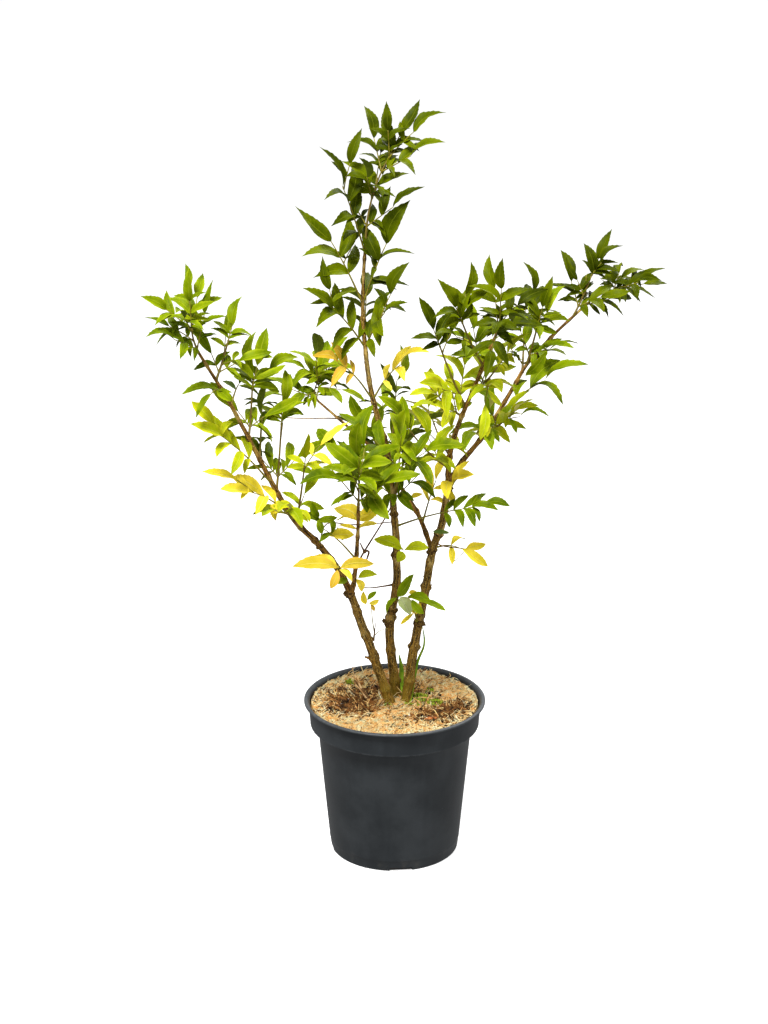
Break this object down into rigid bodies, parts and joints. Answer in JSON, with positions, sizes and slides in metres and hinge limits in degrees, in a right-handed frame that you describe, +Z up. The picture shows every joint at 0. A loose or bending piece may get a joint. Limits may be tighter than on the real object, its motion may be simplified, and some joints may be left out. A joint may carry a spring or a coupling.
{
  "type": "potted elder",
  "caption": "Young elder shrub with slender forked stems and sparse green to yellow compound leaves, growing in a round dark plastic nursery pot topped with bark mulch.",
  "frame": {"origin": "centre of the pot's flat underside", "axes": "+Z up along the pot's axis, -Y towards the front, +X to the right seen from the front"},
  "size_m": [0.7053, 0.5036, 1.0786],
  "materials": {
    "plastic": "matt blue-black moulded plastic with fine dust",
    "mulch": "straw-coloured bark fibre over dark substrate",
    "bark": "brown-olive bark with pale warts",
    "olive": "dull olive-green leaf, veined and serrate",
    "leaf": "mid-green leaf, veined and serrate",
    "spring": "fresh yellow-green leaf, veined and serrate",
    "pale": "pale grey-green underside of a leaf",
    "lime": "bright lime leaf, veined and serrate",
    "yellow": "clear yellow autumn leaf",
    "ochre": "ochre leaf with a dry margin"
  },
  "bodies": {
    "root": {"pot": "plastic", "soil": "mulch", "stem_left": "bark", "stem_centre": "bark", "stem_right": "bark", "bough_left": "bark", "bough_front": "bark", "bough_back": "bark", "bough_right_inner": "bark", "bough_right_outer": "bark", "left_tip": "spring", "left_side": "spring", "left_upper": "spring", "left_mid_out": "spring", "left_mid_in": "pale", "left_out": "lime", "left_yellow": "yellow", "left_low": "lime", "left_twig": "lime", "left_inner": "spring", "left_back": "leaf", "low_inner": "leaf", "foot_yellow": "yellow", "front_cluster": "leaf", "front_yellow": "yellow", "centre_low": "leaf", "centre_lime": "lime", "centre_twig": "leaf", "centre_mid": "spring", "centre_behind": "spring", "ochre_left": "ochre", "ochre_right": "yellow", "centre_left": "olive", "centre_right": "olive", "upper_left": "olive", "upper_right": "olive", "upper_back": "olive", "top_left": "olive", "top": "olive", "right_low_yellow": "yellow", "right_low_lime": "lime", "back_tip": "spring", "back_side": "yellow", "back_mid": "leaf", "back_far": "leaf", "reach_left": "spring", "reach_back": "lime", "inner_lime": "lime", "inner_left": "olive", "inner_upper": "olive", "inner_tip": "olive", "inner_out": "lime", "fork_yellow": "yellow", "outer_low": "lime", "outer_out": "spring", "outer_back": "olive", "outer_upper": "olive", "outer_up": "olive", "outer_tip": "olive"}
  },
  "joints": []
}
